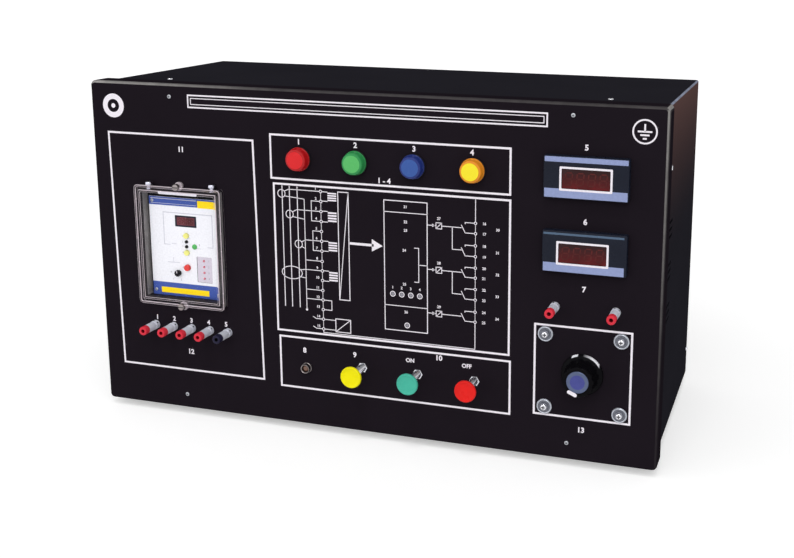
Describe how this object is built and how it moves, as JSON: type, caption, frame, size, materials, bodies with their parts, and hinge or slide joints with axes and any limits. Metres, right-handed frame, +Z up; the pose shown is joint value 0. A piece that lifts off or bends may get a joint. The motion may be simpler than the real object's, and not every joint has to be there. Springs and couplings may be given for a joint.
{
  "type": "relay testing kit",
  "caption": "Sheet-metal bench cabinet whose front panel carries a relay under a clear cover, lamps, push buttons, panel meters, binding posts and a control knob.",
  "frame": {"origin": "centre of the footprint, on the plane that the feet stand on", "axes": "+X to the right along the front panel as seen from in front of it, +Y from the front panel to the back, +Z up"},
  "size_m": [0.72, 0.3452, 0.428],
  "materials": {
    "cabinet": "semi-gloss black powder coat",
    "black_plastic": "smooth black",
    "chrome": "polished",
    "nickel": "satin nickel",
    "steel": "plain",
    "copper": "enamelled wire",
    "blue_metal": "brushed blue",
    "foot_plastic": "pale plastic",
    "clear_cover": "clear moulded cover",
    "relay_face": "white printed face",
    "meter_window": "dark red window",
    "board": "green board",
    "red_plastic": "red",
    "green_plastic": "green",
    "blue_plastic": "blue",
    "yellow_plastic": "yellow",
    "key_yellow": "yellow key"
  },
  "bodies": {
    "cabinet": {"front_panel": "cabinet", "wrap_cover": "cabinet", "base_tray": "cabinet", "back_panel": "cabinet", "foot_front_left": "foot_plastic", "foot_front_right": "foot_plastic", "foot_rear_left": "foot_plastic", "foot_rear_right": "foot_plastic", "lamp_lens_red": "red_plastic", "lamp_holder_red": "black_plastic", "lamp_lens_green": "green_plastic", "lamp_holder_green": "black_plastic", "lamp_lens_blue": "blue_plastic", "lamp_holder_blue": "black_plastic", "lamp_lens_yellow": "yellow_plastic", "lamp_holder_yellow": "black_plastic", "button_body_yellow": "chrome", "button_body_green": "chrome", "button_body_red": "chrome", "power_light": "chrome", "ammeter_case": "black_plastic", "ammeter_window": "meter_window", "timer_case": "black_plastic", "timer_window": "meter_window", "relay_case": "black_plastic", "relay_module": "relay_face", "post_base_input_1": "nickel", "post_base_input_2": "nickel", "post_base_input_3": "nickel", "post_base_input_4": "nickel", "post_base_input_5": "nickel", "post_base_output_1": "nickel", "post_base_output_2": "nickel", "variac_frame": "steel", "variac_winding": "copper", "injector_transformer": "steel", "control_board": "board", "mains_inlet": "black_plastic"},
    "button_yellow": {"button_head_yellow": "yellow_plastic"},
    "button_green": {"button_head_green": "green_plastic"},
    "button_red": {"button_head_red": "red_plastic"},
    "knob": {"control_knob": "black_plastic", "knob_inlay": "blue_metal", "variac_rotor": "steel"},
    "cap_input_1": {"post_cap_input_1": "nickel"},
    "cap_input_2": {"post_cap_input_2": "nickel"},
    "cap_input_3": {"post_cap_input_3": "nickel"},
    "cap_input_4": {"post_cap_input_4": "nickel"},
    "cap_input_5": {"post_cap_input_5": "nickel"},
    "cap_output_1": {"post_cap_output_1": "nickel"},
    "cap_output_2": {"post_cap_output_2": "nickel"},
    "relay_lid": {"relay_cover": "clear_cover"},
    "thumbscrew_upper": {"relay_thumbscrew_upper": "chrome"},
    "thumbscrew_lower": {"relay_thumbscrew_lower": "chrome"},
    "relay_key_upper_body": {"relay_key_upper": "key_yellow"},
    "relay_key_up_body": {"relay_key_up": "black_plastic"},
    "relay_key_down_body": {"relay_key_down": "black_plastic"},
    "relay_key_lower_body": {"relay_key_lower": "key_yellow"},
    "relay_reset_button_body": {"relay_reset_button": "red_plastic"},
    "selector": {"relay_selector": "black_plastic"}
  },
  "joints": [
    {"name": "press_yellow", "type": "slide", "parent": "cabinet", "child": "button_yellow", "axis": [0, 1, 0], "range_m": [0, 0.004], "stiffness_N_per_m": 600, "springref_m": -0.002},
    {"name": "press_green", "type": "slide", "parent": "cabinet", "child": "button_green", "axis": [0, 1, 0], "range_m": [0, 0.004], "stiffness_N_per_m": 600, "springref_m": -0.002},
    {"name": "press_red", "type": "slide", "parent": "cabinet", "child": "button_red", "axis": [0, 1, 0], "range_m": [0, 0.004], "stiffness_N_per_m": 600, "springref_m": -0.002},
    {"name": "turn_knob", "type": "hinge", "parent": "cabinet", "child": "knob", "pos_m": [0.2713, -0.13565, 0.11709], "axis": [0, 1, 0], "range_deg": [0, 320]},
    {"name": "loosen_input_1", "type": "slide", "parent": "cabinet", "child": "cap_input_1", "axis": [0, -1, 0], "range_m": [0, 0.006]},
    {"name": "loosen_input_2", "type": "slide", "parent": "cabinet", "child": "cap_input_2", "axis": [0, -1, 0], "range_m": [0, 0.006]},
    {"name": "loosen_input_3", "type": "slide", "parent": "cabinet", "child": "cap_input_3", "axis": [0, -1, 0], "range_m": [0, 0.006]},
    {"name": "loosen_input_4", "type": "slide", "parent": "cabinet", "child": "cap_input_4", "axis": [0, -1, 0], "range_m": [0, 0.006]},
    {"name": "loosen_input_5", "type": "slide", "parent": "cabinet", "child": "cap_input_5", "axis": [0, -1, 0], "range_m": [0, 0.006]},
    {"name": "loosen_output_1", "type": "slide", "parent": "cabinet", "child": "cap_output_1", "axis": [0, -1, 0], "range_m": [0, 0.006]},
    {"name": "loosen_output_2", "type": "slide", "parent": "cabinet", "child": "cap_output_2", "axis": [0, -1, 0], "range_m": [0, 0.006]},
    {"name": "lift_off_relay_cover", "type": "slide", "parent": "cabinet", "child": "relay_lid", "axis": [0, -1, 0], "range_m": [0, 0.06]},
    {"name": "turn_thumbscrew_upper", "type": "hinge", "parent": "relay_lid", "child": "thumbscrew_upper", "pos_m": [-0.23998, -0.13565, 0.30169], "axis": [0, -1, 0], "range_deg": [0, 1080]},
    {"name": "turn_thumbscrew_lower", "type": "hinge", "parent": "relay_lid", "child": "thumbscrew_lower", "pos_m": [-0.23998, -0.13565, 0.14869], "axis": [0, -1, 0], "range_deg": [0, 1080]},
    {"name": "press_relay_key_upper", "type": "slide", "parent": "cabinet", "child": "relay_key_upper_body", "axis": [0, 1, 0], "range_m": [0, 0.001], "stiffness_N_per_m": 500, "springref_m": -0.001},
    {"name": "press_relay_key_up", "type": "slide", "parent": "cabinet", "child": "relay_key_up_body", "axis": [0, 1, 0], "range_m": [0, 0.001], "stiffness_N_per_m": 500, "springref_m": -0.001},
    {"name": "press_relay_key_down", "type": "slide", "parent": "cabinet", "child": "relay_key_down_body", "axis": [0, 1, 0], "range_m": [0, 0.001], "stiffness_N_per_m": 500, "springref_m": -0.001},
    {"name": "press_relay_key_lower", "type": "slide", "parent": "cabinet", "child": "relay_key_lower_body", "axis": [0, 1, 0], "range_m": [0, 0.001], "stiffness_N_per_m": 500, "springref_m": -0.001},
    {"name": "press_relay_reset_button", "type": "slide", "parent": "cabinet", "child": "relay_reset_button_body", "axis": [0, 1, 0], "range_m": [0, 0.0015], "stiffness_N_per_m": 500, "springref_m": -0.001},
    {"name": "turn_relay_selector", "type": "hinge", "parent": "cabinet", "child": "selector", "pos_m": [-0.24965, -0.13565, 0.18883], "axis": [0, 1, 0], "range_deg": [-135, 135]}
  ]
}
